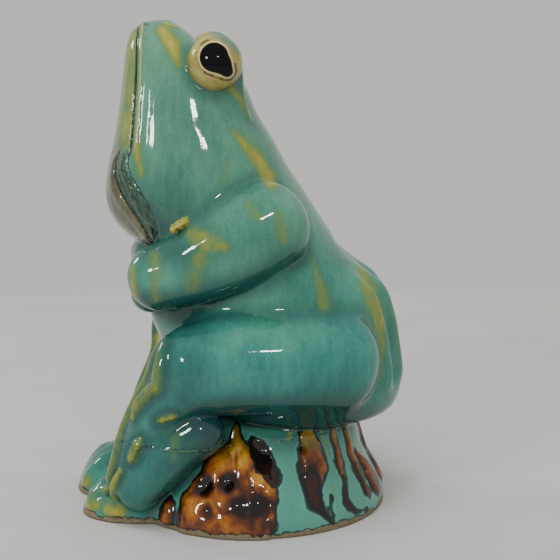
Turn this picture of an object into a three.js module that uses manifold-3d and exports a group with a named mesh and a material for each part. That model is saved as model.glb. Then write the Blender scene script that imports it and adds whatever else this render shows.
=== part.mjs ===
// A glazed earthenware frog, seated on a rock mound with its head tilted straight up.
// A hollow cast body and head is luted to solid pressed limbs and to a hollow mound that is
// open underneath. Millimetres, +Z up. The frog looks towards -Y and its own left side is
// +X. The origin is in the middle of the whole outline, on the surface the figure stands on.

import * as THREE from "three";
import { mergeVertices } from "three/addons/utils/BufferGeometryUtils.js";
import Module from "manifold-3d";

const wasm = await Module();
wasm.setup();

// ---------------------------------------------------------------- driving dimensions

const WALL = 5; // thickness of the cast clay
const JOINT_GAP = 0.3; // clearance between two pieces that are luted together
const PASSAGE_RADIUS = 16; // the opening from the mound up into the body
const PASSAGE_Y = 22;
const EYE = { side: 26.5, y: -6.6, z: 201.2, radius: 11.7 };
const PLAN_CENTRE_Y = 3.25; // where the middle of the whole outline lies in the sections below
const TALLEST = 300; // longer than the frog, for the block that trims it flat underneath

// The body and head as level cross-sections, from the seat up to the snout:
// height, front (y), back (y) and half width of each ellipse.
const BODY = [
  [38, 30, 30, 0],
  [39, 4, 58, 26],
  [42.5, -10, 72.5, 37],
  [50, -20, 78, 44],
  [62, -27, 79, 46.5],
  [76, -32, 77, 47],
  [88, -36, 74.8, 46.5],
  [100, -34, 70.5, 45.5],
  [109, -30, 61, 46],
  [117, -34, 51.5, 46.5],
  [125.5, -47, 45, 46.5],
  [134.5, -53.6, 39, 45.5],
  [144, -55.2, 33, 44],
  [154, -54, 26.4, 41.5],
  [166, -51.2, 19.8, 38.5],
  [178, -48.9, 12.5, 35],
  [190, -47.2, 7.4, 31.5],
  [199, -46, 0, 28],
  [206, -45, -9.5, 24.5],
  [211, -44, -15, 20.5],
  [214.8, -42.2, -19.5, 16],
  [217.2, -38, -23, 11],
  [218.8, -33, -25.5, 8],
  [219.5, -29, -29, 0],
];

// The mound as level cross-sections, outside, from below the foot ring to the seat.
const MOUND = [
  [-30, 11, 11, 0],
  [-20, -32, 54, 44],
  [-8, -49, 71.5, 61],
  [4, -50.2, 72.4, 62.2],
  [14, -46, 68.5, 58.5],
  [25, -41, 62.5, 51.5],
  [34, -36, 60, 45],
  [43, -30, 57, 37],
  [49, -24, 50, 26],
  [51, 13, 13, 0],
];

// Limbs as spines: x (away from the middle plane), y, z, half thickness sideways, and
// half thickness across. Each is rounded off at both ends.
const LEFT_UPPER_ARM = [
  [36, 29, 141, 15, 17],
  [40, 9, 129.5, 16, 20],
  [40, -10, 119.5, 15.5, 18.6],
  [38, -28, 111.5, 14, 15],
  [35, -43.6, 109, 12.5, 12.6],
];
const RIGHT_UPPER_ARM = [
  [36, 29, 141, 15, 17],
  [40, 9, 129.5, 16, 20],
  [41, -9, 118.5, 15.5, 18.4],
  [40, -24, 109.5, 14, 15],
  [37, -37.5, 107, 12.5, 12.6],
];
const LEFT_FOREARM = [
  [31, -35, 103, 8, 8],
  [13, -34.6, 99, 7.8, 7.8],
  [-7, -34, 97.5, 7.5, 7.5],
  [-25, -32, 96.5, 6.5, 6.5],
];
const RIGHT_FOREARM = [
  [31, -30, 112, 8, 8],
  [13, -33, 114.4, 7.6, 7.6],
  [-6, -33.5, 114.8, 7.5, 7.5],
  [-23, -31, 116, 6.8, 6.8],
];
const THIGH = [
  [34, 60, 71, 13, 19],
  [40, 40, 72.5, 17, 21.8],
  [43, 14, 72.8, 17.5, 21.8],
  [43.5, -8, 72, 17, 21],
  [42, -32, 69, 15, 18],
];
const LEFT_SHIN = [
  [41, -12, 82, 15, 11],
  [41.5, -21, 67, 16, 13],
  [39, -31, 51, 14, 12.5],
  [35, -40, 33, 12, 11],
  [30, -47, 10, 10, 9],
];
const RIGHT_SHIN = [
  [41, -10, 82, 15, 11],
  [41, -18, 67, 15.5, 13],
  [37, -25, 51, 13.5, 12.5],
  [31, -35, 33, 12, 11],
  [25, -46, 11, 10, 9],
];
const INSTEP = [
  [42, -4, 48.5, 10, 9],
  [43.5, -14, 44.5, 12, 11.5],
  [42, -26, 36, 12.5, 12],
  [38.5, -37, 23, 12, 11.5],
  [33, -46, 12, 11, 9],
];

// Each foot spreads into a low dome, given by its centre and its three radii, and each toe
// stands out of the dome as a rib with the same five numbers as a limb.
const LEFT_APRON = { centre: [19, -40, -2], radii: [19.5, 28, 22] };
const RIGHT_APRON = { centre: [-13, -41, -3], radii: [22, 31.6, 28] };
const LEFT_TOES = [
  [[9, -60, 14, 4, 4], [10, -63, 9, 4, 4], [10.5, -66, 4.5, 3.6, 3.6]],
  [[22, -51, 16, 5.5, 5.5], [24, -55, 10, 5.2, 5.2], [25, -58.5, 5.6, 5, 5]],
  [[31, -45, 14, 4.8, 4.8], [32.5, -48.5, 9, 4.5, 4.5], [33, -51.5, 4.8, 4.2, 4.2]],
];
const RIGHT_TOES = [
  [[5, -61, 15, 4.2, 4.2], [4.5, -64.5, 9, 4, 4], [4, -67.5, 4.2, 3.8, 3.8]],
  [[18, -56, 17, 5.5, 5.5], [19, -61, 10, 5, 5], [19, -64.5, 5, 4.6, 4.6]],
  [[30, -46, 15, 5, 5], [32.5, -51.5, 9, 4.6, 4.6], [34, -56, 4.8, 4.2, 4.2]],
];

// The right hand's fingertips, laid over the left arm in the crease beside the cheek.
const FINGERTIPS = [
  [44, -25.4, 131.6],
  [44, -22.4, 133.6],
  [44, -19.4, 135.4],
];
const FINGERTIP = { radius: 1.9, length: 11, knuckle: 2.6 };

const GLAZE = { color: 0x4f9a87, roughness: 0.12, metalness: 0 };
const AMBER = { color: 0x8a4312, roughness: 0.12, metalness: 0 };
const EYE_CREAM = { color: 0xc9b56a, roughness: 0.12, metalness: 0 };

// ---------------------------------------------------------------- solids and meshes

function solidOf(geometry) {
  const bare = geometry.clone();
  bare.deleteAttribute("normal");
  bare.deleteAttribute("uv");
  const merged = mergeVertices(bare, 1e-4);
  const mesh = new wasm.Mesh({
    numProp: 3,
    vertProperties: new Float32Array(merged.attributes.position.array),
    triVerts: new Uint32Array(merged.index.array),
  });
  return new wasm.Manifold(mesh);
}

function meshOf(name, solid, look) {
  const data = solid.getMesh();
  const geometry = new THREE.BufferGeometry();
  geometry.setAttribute("position", new THREE.BufferAttribute(new Float32Array(data.vertProperties), 3));
  geometry.setIndex(new THREE.BufferAttribute(new Uint32Array(data.triVerts), 1));
  geometry.computeVertexNormals();
  const mesh = new THREE.Mesh(geometry, new THREE.MeshStandardMaterial(look));
  mesh.name = name;
  return mesh;
}

// One smooth number from a list of evenly spaced stations, for t from 0 to 1.
function along(values, t) {
  const last = values.length - 1;
  const place = Math.min(t * last, last - 1e-9);
  const i = Math.floor(place);
  const u = place - i;
  const a = values[Math.max(i - 1, 0)];
  const b = values[i];
  const c = values[i + 1];
  const d = values[Math.min(i + 2, last)];
  const cubic = (2 * b) + (c - a) * u + (2 * a - 5 * b + 4 * c - d) * u * u;
  return (cubic + (3 * b - a - 3 * c + d) * u * u * u) / 2;
}

// A closed form with level elliptical sections [height, front, back, half width]. The first
// and last sections are points. Positive grow makes it that much bigger all round.
function sectioned(sections, grow, around, up) {
  const columns = [0, 1, 2, 3].map((column) => sections.map((row) => row[column]));
  const geometry = new THREE.SphereGeometry(1, around, up);
  const point = geometry.attributes.position;
  for (let i = 0; i < point.count; i += 1) {
    const polar = Math.acos(THREE.MathUtils.clamp(-point.getY(i), -1, 1));
    const t = polar / Math.PI;
    const turn = Math.atan2(point.getZ(i), point.getX(i));
    const [height, front, back, half] = columns.map((values) => along(values, t));
    const pole = Math.sin(polar);
    const swell = grow * Math.min(1, pole * 4);
    const lift = -grow * Math.cos(polar);
    const atPole = pole < 1e-6;
    const wide = atPole ? 0 : Math.max(half, 0) + swell;
    const deep = atPole ? 0 : Math.max((back - front) / 2, 0) + swell;
    const middle = (front + back) / 2;
    point.setXYZ(i, wide * Math.cos(turn), middle - deep * Math.sin(turn), height + lift);
  }
  return solidOf(geometry);
}

// A closed round-ended form about a spine of [x, y, z, side, across] stations.
function limb(stations, grow = 0, around = 16, long = 12, mirror = 1) {
  const spine = new THREE.CatmullRomCurve3(
    stations.map(([x, y, z]) => new THREE.Vector3(x * mirror, y, z)), false, "centripetal");
  const length = spine.getLength();
  const side = stations.map((row) => row[3]);
  const across = stations.map((row) => row[4]);
  const geometry = new THREE.SphereGeometry(1, around, long);
  const point = geometry.attributes.position;
  for (let i = 0; i < point.count; i += 1) {
    const polar = Math.acos(THREE.MathUtils.clamp(-point.getY(i), -1, 1));
    const t = (1 - Math.cos(polar)) / 2;
    const turn = Math.atan2(point.getZ(i), point.getX(i));
    const tangent = spine.getTangentAt(t);
    const levelAcross = new THREE.Vector3().crossVectors(tangent, new THREE.Vector3(1, 0, 0));
    const steep = Math.abs(tangent.x) > 0.8;
    const normal = steep ? new THREE.Vector3(0, 0, 1) : levelAcross.normalize();
    const sideways = new THREE.Vector3().crossVectors(normal, tangent).normalize();
    const wide = along(side, t) + grow;
    const tall = along(across, t) + grow;
    const end = Math.min(Math.min(t, 1 - t) * length + grow, Math.min(wide, tall));
    const round = Math.sqrt(Math.max(0, 1 - (1 - end / Math.min(wide, tall)) ** 2));
    const ends = polar < 1e-6 || Math.PI - polar < 1e-6 ? 0 : Math.max(round, 0.05);
    const place = spine.getPointAt(t).addScaledVector(tangent, -grow * Math.cos(polar));
    place.addScaledVector(sideways, wide * ends * Math.cos(turn));
    place.addScaledVector(normal, tall * ends * Math.sin(turn));
    point.setXYZ(i, place.x, place.y, place.z);
  }
  return outward(solidOf(geometry), geometry);
}

// Turning a form inside out is undone here, so that every solid's faces point outwards.
function outward(solid, geometry) {
  if (solid.volume() > 0) {
    return solid;
  }
  const index = geometry.index.array;
  for (let i = 0; i < index.length; i += 3) {
    [index[i], index[i + 1]] = [index[i + 1], index[i]];
  }
  return solidOf(geometry);
}

function ball(x, y, z, radius, fine = 20) {
  return solidOf(new THREE.SphereGeometry(radius, fine, Math.round(fine * 0.7)).translate(x, y, z));
}

function dome({ centre, radii }, grow) {
  const geometry = new THREE.SphereGeometry(1, 28, 20);
  geometry.scale(...radii.map((radius) => radius + grow));
  return solidOf(geometry.translate(...centre));
}

// A round bar from one point to another, for vents and passages.
function bar(from, to, radius, sides = 10) {
  const start = new THREE.Vector3(...from);
  const end = new THREE.Vector3(...to);
  const geometry = new THREE.CylinderGeometry(radius, radius, start.distanceTo(end), sides);
  const turn = new THREE.Quaternion();
  turn.setFromUnitVectors(new THREE.Vector3(0, 1, 0), end.clone().sub(start).normalize());
  geometry.applyQuaternion(turn);
  geometry.translate(...start.lerp(end, 0.5).toArray());
  return solidOf(geometry);
}

function joined(solids) {
  return solids.reduce((whole, solid) => whole.add(solid));
}

function cutBy(solid, tools) {
  return tools.reduce((rest, tool) => rest.subtract(tool), solid);
}

// The lining of a cast form: its sections drawn in by the wall, without the thin ends.
function lining(sections, wall, bottom, top) {
  const inner = sections
    .filter(([height, , , half]) => half > 2 * wall && height > bottom && height < top)
    .map(([height, front, back, half]) => [height, front + wall, back - wall, half - wall]);
  const first = inner[0];
  const last = inner[inner.length - 1];
  const floor = [bottom, (first[1] + first[2]) / 2, (first[1] + first[2]) / 2, 0];
  const roof = [top, (last[1] + last[2]) / 2, (last[1] + last[2]) / 2, 0];
  return sectioned([floor, ...inner, roof], 0, 24, 16);
}

// ---------------------------------------------------------------- shared cutting forms

const bodyOutside = sectioned(BODY, 0, 36, 32);
const bodyClear = sectioned(BODY, JOINT_GAP, 36, 32);
const moundClear = sectioned(MOUND, JOINT_GAP, 36, 18);
const underground = solidOf(
  new THREE.BoxGeometry(TALLEST, TALLEST, TALLEST).translate(0, 0, -TALLEST / 2));
const passage = bar([0, PASSAGE_Y, 20], [0, PASSAGE_Y, 56], PASSAGE_RADIUS, 24);

// ---------------------------------------------------------------- the pieces

function body() {
  const hollow = lining(BODY, WALL, 44, 212);
  const sockets = [1, -1].map((mirror) => (
    ball(mirror * EYE.side, EYE.y, EYE.z, EYE.radius + JOINT_GAP)));
  return cutBy(bodyOutside, [hollow, passage, ...sockets]);
}

function eye(mirror) {
  return ball(mirror * EYE.side, EYE.y, EYE.z, EYE.radius);
}

function upperArm(mirror, grow = 0) {
  return limb(mirror > 0 ? LEFT_UPPER_ARM : RIGHT_UPPER_ARM, grow, 18, 14, mirror);
}

function thigh(mirror, grow = 0) {
  return limb(THIGH, grow, 18, 14, mirror);
}

function shin(mirror, grow = 0) {
  return limb(mirror > 0 ? LEFT_SHIN : RIGHT_SHIN, grow, 14, 12, mirror);
}

function foot(mirror, grow = 0) {
  const [apron, toes] = mirror > 0 ? [LEFT_APRON, LEFT_TOES] : [RIGHT_APRON, RIGHT_TOES];
  const ribs = toes.map((toe) => limb(toe, grow, 10, 8, mirror));
  return joined([limb(INSTEP, grow, 14, 12, mirror), dome(apron, grow), ...ribs]);
}

function forearm(mirror, grow = 0) {
  return limb(mirror > 0 ? LEFT_FOREARM : RIGHT_FOREARM, grow, 12, 10, mirror);
}

// Three fingertips that point away from the middle, joined at their knuckles.
function fingertips() {
  const size = FINGERTIP.radius;
  const tips = FINGERTIPS.map(([x, y, z]) => limb([
    [x - FINGERTIP.length / 2, y, z, size, size],
    [x + FINGERTIP.length / 2, y, z + 1, size, size],
  ], 0, 10, 8));
  const knuckles = FINGERTIPS.map(([x, y, z]) => [x + FINGERTIP.knuckle, y, z, size, size]);
  return joined([limb(knuckles, 0, 10, 8), ...tips]);
}

function mound() {
  const hollow = lining(MOUND, WALL, -20, 36);
  return cutBy(sectioned(MOUND, 0, 36, 18), [underground, hollow, passage, bodyClear]);
}

// ---------------------------------------------------------------- the figure

const sides = [[1, "left"], [-1, "right"]];
const figure = new THREE.Group();
figure.name = "glazed_frog";

const armsClear = sides.map(([mirror]) => upperArm(mirror, JOINT_GAP));
figure.add(meshOf("rock_mound", mound(), AMBER));
figure.add(meshOf("body_and_head", body(), GLAZE));
for (const [mirror, side] of sides) {
  const thighClear = [bodyClear, moundClear];
  const shinClear = [...thighClear, thigh(mirror, JOINT_GAP)];
  const otherFoot = mirror > 0 ? [] : [foot(1, JOINT_GAP)];
  const footClear = [...shinClear, shin(mirror, JOINT_GAP), ...otherFoot, underground];
  figure.add(meshOf(`${side}_eye`, eye(mirror), EYE_CREAM));
  figure.add(meshOf(`${side}_upper_arm`, cutBy(upperArm(mirror), [bodyClear]), GLAZE));
  figure.add(meshOf(`${side}_forearm`, cutBy(forearm(mirror), [bodyClear, ...armsClear]), GLAZE));
  figure.add(meshOf(`${side}_thigh`, cutBy(thigh(mirror), thighClear), GLAZE));
  figure.add(meshOf(`${side}_shin`, cutBy(shin(mirror), shinClear), GLAZE));
  figure.add(meshOf(`${side}_foot`, cutBy(foot(mirror), footClear), GLAZE));
}
figure.add(meshOf("right_fingertips", cutBy(fingertips(), [bodyClear, ...armsClear]), EYE_CREAM));
figure.position.y = -PLAN_CENTRE_Y;
figure.updateMatrixWorld(true);

export default figure;
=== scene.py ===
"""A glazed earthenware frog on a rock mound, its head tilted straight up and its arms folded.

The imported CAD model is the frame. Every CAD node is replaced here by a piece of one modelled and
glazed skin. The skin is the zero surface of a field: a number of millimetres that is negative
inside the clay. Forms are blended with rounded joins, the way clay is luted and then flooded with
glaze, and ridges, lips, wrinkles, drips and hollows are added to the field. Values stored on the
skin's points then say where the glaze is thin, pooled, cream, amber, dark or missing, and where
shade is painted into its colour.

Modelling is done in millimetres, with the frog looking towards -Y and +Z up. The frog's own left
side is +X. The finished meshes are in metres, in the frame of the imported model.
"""

import math

import bpy
import numpy as np
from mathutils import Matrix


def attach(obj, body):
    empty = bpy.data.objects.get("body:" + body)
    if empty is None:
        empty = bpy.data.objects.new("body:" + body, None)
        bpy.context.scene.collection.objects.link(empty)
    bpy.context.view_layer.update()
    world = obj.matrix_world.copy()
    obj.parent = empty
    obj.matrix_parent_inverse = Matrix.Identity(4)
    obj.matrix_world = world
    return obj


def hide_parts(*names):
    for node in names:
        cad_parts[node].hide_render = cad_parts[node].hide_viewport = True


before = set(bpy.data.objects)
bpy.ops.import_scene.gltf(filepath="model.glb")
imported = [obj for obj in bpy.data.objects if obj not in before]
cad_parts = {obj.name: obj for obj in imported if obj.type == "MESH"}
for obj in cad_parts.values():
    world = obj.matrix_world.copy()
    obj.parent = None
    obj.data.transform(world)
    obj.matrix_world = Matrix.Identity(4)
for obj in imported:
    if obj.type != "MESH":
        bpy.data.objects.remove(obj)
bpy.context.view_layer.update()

import openvdb
from mathutils import Vector

# ---- driving dimensions (mm)

VOXEL = 1.12  # spacing of the grid that the skin is drawn from
COARSE = 3  # the first, rough pass looks at every third place of that grid
SKIN = 2.0  # thickness of the finished pieces
WALL = 5.0  # thickness of the cast mound
PLAN_CENTRE_Y = 3.25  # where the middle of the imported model's plan lies in the sections below
MOUND_CENTRE_Y = 11.0
HOLLOW_ROOF = 33  # height of the mound's hollow, from which a passage leads up into the body
PASSAGE_Y = 22
PASSAGE_RADIUS = 15
FOOT_RING_BARE = 2.3  # height of the unglazed rim
MM = 0.001

# Body and head as level cross-sections: height, front (y), back (y), half width.
BODY = [
    (38, 22, 40, 4), (39, 4, 58, 26), (42.5, -10, 72.5, 37), (50, -20, 78, 44),
    (62, -27, 78.8, 46.5), (76, -32, 77, 47), (88, -36, 74.8, 46.5), (100, -34, 70.5, 45.5),
    (109, -30, 61, 46), (117, -34, 51.5, 46.5), (125.5, -47, 45, 46.5), (134.5, -53.6, 39, 45.5),
    (144, -55.2, 33, 44), (154, -54.0, 26.4, 41.5), (166, -51.2, 19.8, 38.5),
    (178, -48.9, 12.5, 35), (190, -47.2, 7.4, 31.5), (199, -46.0, 0, 28),
    (206, -45, -9.5, 24.5), (211, -44, -15, 20.5), (214.8, -42.2, -19.5, 16),
    (217.2, -38, -23, 11), (218.6, -31, -26, 6),
]
MOUND = [
    (-8, -49, 71.5, 61), (4, -50.2, 72.4, 62.2), (14, -46, 68.5, 58.5), (25, -41, 62.5, 51.5),
    (34, -36, 60, 45), (43, -30, 57, 37), (49, -24, 50, 26), (51, 5, 21, 6),
]

# Limbs as spines: x (away from the middle), y, z, half thickness sideways and across.
ARMS = {
    "left": [(36, 29, 141, 15, 17), (40, 9, 129.5, 16, 20), (40, -10, 119.5, 15.5, 18.6),
             (38, -28, 111.5, 14, 15), (35, -43.6, 109, 12.5, 12.6)],
    "right": [(36, 29, 141, 15, 17), (40, 9, 129.5, 16, 20), (41, -9, 118.5, 15.5, 18.4),
              (40, -24, 109.5, 14, 15), (37, -37.5, 107, 12.5, 12.6)],
}
FOREARMS = {
    "left": [(33, -35, 103, 8.6, 8.6), (13, -36.6, 99, 8, 8), (-7, -36.5, 97.5, 7.5, 7.5),
             (-25, -32, 96.5, 6.5, 6.5)],
    "right": [(31, -32, 112, 8, 8), (13, -36, 114.4, 7.6, 7.6), (-6, -37, 115.6, 7.5, 7.5),
              (-23, -34, 118, 6.8, 6.8)],
}
THIGH = [(34, 60, 71, 13, 19), (40, 40, 72.5, 17, 21.8), (43, 14, 72.8, 17.5, 21.8),
         (43.5, -8, 72, 17, 21), (42, -32, 69, 15, 18)]
SHINS = {
    "left": [(41, -12, 82, 15, 11), (41.5, -21, 67, 16, 13), (39, -31, 51, 14, 12.5),
             (35, -40, 33, 12, 11), (30, -47, 10, 10, 9)],
    "right": [(41, -10, 82, 15, 11), (41, -18, 67, 15.5, 13), (37, -25, 51, 13.5, 12.5),
              (31, -35, 33, 12, 11), (25, -46, 11, 10, 9)],
}
FOOT = [(42, -8, 47.5, 10, 9), (43.5, -14, 44.5, 12, 11.5), (42, -26, 36, 12.5, 12),
        (38.5, -37, 23, 12, 11.5), (33, -46, 10, 11, 9)]
# Each foot spreads into a low apron, from which the toes stand out as ribs: spines and radius.
APRONS = {"left": ((19, -40, -2), (19.5, 28, 22)), "right": ((-13, -41, -3), (22, 31, 28))}
TOES = {
    "left": [([(6, -54, 18), (9, -62, 12), (12, -67, 4)], 2.2),
             ([(21, -53, 16), (24, -59, 9), (26, -63, 3)], 5.0),
             ([(31, -48, 12), (34, -52, 7), (36, -54, 2)], 4.4)],
    "right": [([(4, -56, 20), (4, -66, 12), (4, -71, 4)], 2.4),
              ([(18, -54, 18), (20, -62, 11), (21, -67, 4)], 4.6),
              ([(29, -46, 16), (32, -52, 9), (33, -55, 3)], 4.4)],
}

EYE = (26.5, -6.6, 201.2)
EYE_RADIUS = 11.7
BROW = [(25, -4, 203, 8, 8), (24, 0, 196, 5.6, 5.6), (23, 3, 187, 3, 3), (22, 6, 178, 1.5, 1.5)]
FINGERTIPS = [(44.5, -25.2, 132.2), (44.3, -22.9, 133.9), (44, -20.6, 135.4)]

# Thin raised cords of clay on the shins, where the glaze breaks to yellow: spines and radius.
SHIN_RIDGES = [
    ([(46, -25, 82), (42, -32.5, 72), (37.5, -41.5, 58), (38, -46, 46), (37, -51, 31),
      (31, -56.5, 17), (23, -61, 7)], 2.2),
    ([(47, -25, 80), (48.5, -26, 72), (48.5, -27.5, 66), (47, -33, 62), (44.5, -39, 56),
      (43.5, -42, 50)], 2.7),
    ([(45, -38.8, 42), (43.5, -43.8, 32)], 1.9),
    ([(41.5, -49, 26), (37, -52.5, 15), (33, -54, 7)], 1.9),
    ([(51, -31.6, 52), (51, -26, 55.5)], 1.2),
]

# The line of the mouth on each side of the head, and the crease under it that borders the
# throat, both as y for a height z.
MOUTH = [(156, -43.6), (162, -43.1), (168, -42.5), (176, -41.7), (193, -40.3), (208, -39.7),
         (216, -39.2), (222, -39)]
THROAT = [(112, -29.5), (118, -31.6), (123.5, -34), (132.5, -38.4), (142.4, -44.9),
          (148, -48.2), (153, -49.8), (159, -49.6), (164, -47.4), (168, -44)]
# Heights, and the width there of the wrinkled band behind the crease.
THROAT_BAND = ((124, 132, 142, 152, 158, 164), (2.8, 5.2, 7.8, 7.6, 5.4, 3.2))


# ---- small mathematics

def smooth_rows(stations, steps):
    """Rows on one smooth curve through evenly spaced stations."""
    rows = np.asarray(stations, float)
    last = len(rows) - 1
    t = np.linspace(0, last, steps)
    i = np.minimum(t.astype(int), last - 1)
    u = (t - i)[:, None]
    a, b, c, d = (rows[np.clip(i + k, 0, last)] for k in (-1, 0, 1, 2))
    return b + u * (c - a + u * (2 * a - 5 * b + 4 * c - d + u * (3 * b - a - 3 * c + d))) / 2


def rise(x, low, high):
    """0 below low, 1 above high, and a smooth step between."""
    t = np.clip((x - low) / (high - low), 0, 1)
    return t * t * (3 - 2 * t)


def bell(x, width):
    return np.exp(-(x / width) ** 2)


def blend(a, b, round_off):
    """The union of two fields, rounded where they meet."""
    h = np.clip(0.5 + 0.5 * (b - a) / round_off, 0, 1)
    return b + (a - b) * h - round_off * h * (1 - h)


def mirrored(rows, side):
    return [(side * row[0], *row[1:]) for row in rows]


def line_distance(u, v, points):
    """Distance in a plane from (u, v) to a chain of points, and how far along it (0 to 1)."""
    best = np.full(u.shape, np.inf)
    place = np.zeros(u.shape)
    spans = len(points) - 1
    for k in range(spans):
        (au, av), (bu, bv) = points[k][:2], points[k + 1][:2]
        du, dv = bu - au, bv - av
        t = np.clip(((u - au) * du + (v - av) * dv) / (du * du + dv * dv + 1e-9), 0, 1)
        d = np.hypot(u - au - t * du, v - av - t * dv)
        closer = d < best
        best = np.where(closer, d, best)
        place = np.where(closer, (k + t) / spans, place)
    return best, place


# ---- forms, as fields in mm

def limb(stations, clip_ends=True, steps=15):
    """A round-ended limb of elliptical section about a spine of x, y, z, side, across."""
    path = smooth_rows(stations, 60)
    if clip_ends:
        run = np.concatenate([[0], np.cumsum(np.linalg.norm(np.diff(path[:, :3], axis=0), axis=1))])
        first = min(path[0, 3:5])
        final = run[-1] - min(path[-1, 3:5])
        at = np.linspace(first, max(final, first + 0.1), steps)
        path = np.stack([np.interp(at, run, path[:, k]) for k in range(5)], 1)
    reach = path[:, 3:5].max() + 9
    low, high = path[:, :3].min(0) - reach, path[:, :3].max(0) + reach

    def field(p):
        out = np.full(len(p), 9.0)
        near = np.all((p > low) & (p < high), axis=1)
        q = p[near]
        best = np.full(len(q), np.inf)
        gap = np.zeros_like(q)
        tangent = np.zeros_like(q)
        size = np.ones((len(q), 2))
        for a, b in zip(path[:-1], path[1:]):
            step = b[:3] - a[:3]
            length2 = step @ step
            t = np.clip((q - a[:3]) @ step / length2, 0, 1)
            away = q - a[:3] - t[:, None] * step
            d2 = np.einsum("ij,ij->i", away, away)
            closer = d2 < best
            best = np.where(closer, d2, best)
            gap[closer] = away[closer]
            tangent[closer] = step / math.sqrt(length2)
            size[closer] = (a[3:5] + t[:, None] * (b[3:5] - a[3:5]))[closer]
        lengthways = np.einsum("ij,ij->i", gap, tangent)
        sideways = np.array([1.0, 0, 0]) - tangent[:, :1] * tangent
        sideways /= np.linalg.norm(sideways, axis=1)[:, None] + 1e-6
        side = np.einsum("ij,ij->i", gap, sideways)
        rest = np.maximum(best - side ** 2 - lengthways ** 2, 0)
        small = size.min(1)
        ratio = np.sqrt((side / size[:, 0]) ** 2 + rest / size[:, 1] ** 2
                        + (lengthways / small) ** 2)
        distance = np.sqrt(best)
        out[near] = np.where(ratio > 1e-3, distance * (1 - 1 / np.maximum(ratio, 1e-3)), -small)
        return out

    return field


def ball(centre, radius):
    centre = np.asarray(centre, float)
    radius = np.broadcast_to(np.asarray(radius, float), 3)

    def field(p):
        gap = p - centre
        ratio = np.sqrt(((gap / radius) ** 2).sum(1))
        return np.linalg.norm(gap, axis=1) * (1 - 1 / np.maximum(ratio, 1e-3))

    return field


def laid_on(field, spine, sunk):
    """The same spine of x, y, z rows, moved onto a form's surface and sunk into it."""
    rows = np.array(smooth_rows(spine, 3 * len(spine)), float)
    for _ in range(6):
        value, gradient = slope_at(field, rows)
        rows -= ((value + sunk) / np.maximum((gradient ** 2).sum(1), 0.3))[:, None] * gradient
    return rows


def tapered(rows, thick):
    """Those rows as a cord's stations, thinner towards its ends."""
    t = np.linspace(0, 1, len(rows))
    thicks = thick * (0.45 + 0.55 * rise(np.minimum(t, 1 - t), 0, 0.22))
    return [(*row, r, r) for row, r in zip(rows, thicks)]


# The corners of a tetrahedron, at which a field is read to find how it slopes and bends.
CORNERS = np.array([(1, -1, -1), (-1, -1, 1), (-1, 1, -1), (1, 1, 1)], float)


def slope_at(field, p, step=0.2):
    """Value and gradient of a field."""
    values = [field(p + step * c) for c in CORNERS]
    gradient = sum(v[:, None] * c for v, c in zip(values, CORNERS)) / (4 * step)
    return sum(values) / 4, gradient


def lofted(sections, squareness):
    """A form of level, nearly elliptical sections. squareness(z, front) is their exponent."""
    rows = smooth_rows(sections, 12 * len(sections))
    heights = np.maximum.accumulate(rows[:, 0] + np.arange(len(rows)) * 1e-6)

    def level(x, y, z):
        front, back, half = (np.interp(z, heights, rows[:, k]) for k in (1, 2, 3))
        middle, deep = (front + back) / 2, np.maximum((back - front) / 2, 0.5)
        half = np.maximum(half, 0.5)
        v = (y - middle) / deep
        n = squareness(z, v < 0)
        ratio = (np.abs(v) ** n + np.abs(x / half) ** n) ** (1 / n)
        far = np.hypot(x, y - middle)
        value = far * (1 - 1 / np.maximum(ratio, 1e-3))
        return np.where(ratio > 1e-3, value, -np.minimum(deep, half))

    def field(p):
        x, y, z = p[:, 0], p[:, 1], np.clip(p[:, 2], heights[0], heights[-1])
        here = level(x, y, z)
        slope = level(x, y, z + 0.5) - level(x, y, z - 0.5)
        beyond = p[:, 2] - z
        value = here / np.sqrt(1 + slope ** 2)
        value = np.where(beyond == 0, value, np.hypot(np.maximum(value, 0), beyond))
        return np.maximum.reduce([value, p[:, 2] - heights[-1], heights[0] - p[:, 2]])

    return field


def head_squareness(z, front):
    head = rise(z, 120, 165)
    return np.where(front, 2 + 0.9 * head, 2 + 0.2 * head)


body_form = lofted(BODY, head_squareness)
mound_form = lofted(MOUND, lambda z, front: 2.0 + 0 * z)


# ---- modelled detail of the body

def beside(p, line):
    """Distance from a line of (z, y) seen from the side: positive behind it, negative before."""
    y, z = p[:, 1], p[:, 2]
    away, _ = line_distance(z, y, line)
    return np.where(y > np.interp(z, *zip(*line)), away, -away)


def mouth_place(p):
    """Distance behind the line of the mouth, and how much of a mouth there is at that height."""
    return beside(p, MOUTH), rise(p[:, 2], 161, 168)


def throat_place(p):
    """Distance behind the throat's crease in band widths, and how much of a band there is."""
    z = p[:, 2]
    side = rise(np.abs(p[:, 0]), 14, 24)
    return beside(p, THROAT) / np.interp(z, *THROAT_BAND), (
        side * rise(z, 119, 125) * (1 - rise(z, 160, 167)))


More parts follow.
